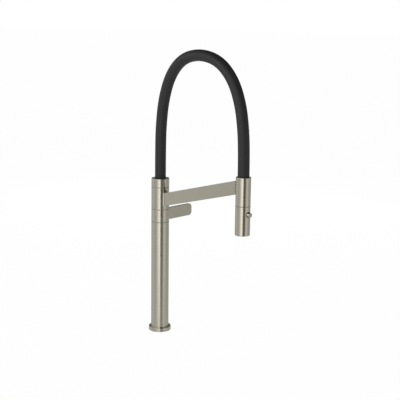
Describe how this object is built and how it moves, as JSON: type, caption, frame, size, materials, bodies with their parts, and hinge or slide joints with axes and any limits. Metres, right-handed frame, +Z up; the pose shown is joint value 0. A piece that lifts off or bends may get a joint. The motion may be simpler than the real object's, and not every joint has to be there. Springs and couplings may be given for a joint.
{
  "type": "kitchen faucet",
  "caption": "Tall pull-down kitchen faucet: slim column, ring lever, sloping swivel arm with a magnetic dock, arched black rubber hose and a cylindrical two-jet spray wand.",
  "frame": {"origin": "centre of the base where it meets the deck, at the mouth of the fixing stud's hole", "axes": "+Z up, -Y along the spout arm towards the user, +X towards the lever, the user's right"},
  "size_m": [0.1166, 0.28, 0.6092],
  "materials": {
    "brushed_nickel": "satin brushed nickel, fine grain round the tubes and along the bar",
    "brass": "machined",
    "copper_tube": "drawn copper tube",
    "steel": "plain stainless steel",
    "ceramic": "lapped",
    "seal_rubber": "moulded",
    "white_plastic": "moulded",
    "black_plastic": "moulded",
    "hose_rubber": "smooth matte black silicone rubber",
    "inner_hose": "reinforced hose",
    "nozzle_silicone": "soft silicone",
    "magnet": "nickel plated magnet"
  },
  "bodies": {
    "root": {"base_flange": "brushed_nickel", "base_seal": "seal_rubber", "foot_block": "brass", "column_tube": "brushed_nickel", "hot_riser": "copper_tube", "cold_riser": "copper_tube", "valve_body": "brass", "cartridge_shell": "white_plastic", "cartridge_fixed_disc": "ceramic", "spindle_oring": "seal_rubber", "cartridge_nut": "brass", "bridge_core": "brass", "bridge_screws": "steel", "lever_glides": "white_plastic", "swivel_post": "brass", "post_orings": "seal_rubber", "thrust_washer": "white_plastic", "post_circlip": "steel"},
    "lever": {"lever_ring": "brushed_nickel", "lever_paddle": "brushed_nickel", "lever_web": "brass", "tenon_pin": "steel", "spindle_screw": "steel", "cartridge_spindle": "brass", "cartridge_moving_disc": "ceramic"},
    "arm": {"arm_hub": "brushed_nickel", "swivel_bushes": "white_plastic", "arm_bar": "brushed_nickel", "arm_dowels": "steel", "dock_magnet": "magnet", "dock_pad": "black_plastic", "top_collar": "brushed_nickel", "hose_adapter": "brass", "adapter_oring": "seal_rubber", "adapter_ferrule": "brass", "hose_sleeve": "hose_rubber", "hose_spring": "steel", "inner_hose": "inner_hose"},
    "hose_end": {"hose_nipple": "brass", "nipple_ferrule": "brass", "nipple_oring": "seal_rubber"},
    "wand": {"wand_sleeve": "brushed_nickel", "swivel_nut": "brass", "wand_core": "black_plastic", "check_valve": "white_plastic", "keeper_plate": "steel", "head_oring": "seal_rubber", "spray_head": "brushed_nickel", "spray_plate": "black_plastic", "spray_nozzles": "nozzle_silicone", "aerator_housing": "black_plastic", "aerator_screen": "steel", "button_guide": "black_plastic", "button_spring": "steel"},
    "button": {"diverter_button": "brushed_nickel", "diverter_spool": "brass"}
  },
  "joints": [
    {"name": "lever_turn", "type": "hinge", "parent": "root", "child": "lever", "pos_m": [0, 0, 0.23], "axis": [0, 0, -1], "range_deg": [0, 100]},
    {"name": "arm_swivel", "type": "hinge", "parent": "root", "child": "arm", "pos_m": [0, 0, 0.29], "axis": [0, 0, 1], "range_deg": [-90, 90]},
    {"name": "spray_pull", "type": "slide", "parent": "arm", "child": "hose_end", "axis": [0, -0.5, -0.866], "range_m": [0, 0.15], "stiffness_N_per_m": 40, "springref_m": -0.12, "deforming": ["hose_sleeve", "hose_spring", "inner_hose"]},
    {"name": "wand_twist", "type": "hinge", "parent": "hose_end", "child": "wand", "pos_m": [0, -0.235, 0.34], "axis": [0, 0, 1], "continuous": true},
    {"name": "button_press", "type": "slide", "parent": "wand", "child": "button", "axis": [0, 1, 0], "range_m": [0, 0.003], "stiffness_N_per_m": 900, "springref_m": -0.003, "deforming": ["button_spring"]}
  ]
}
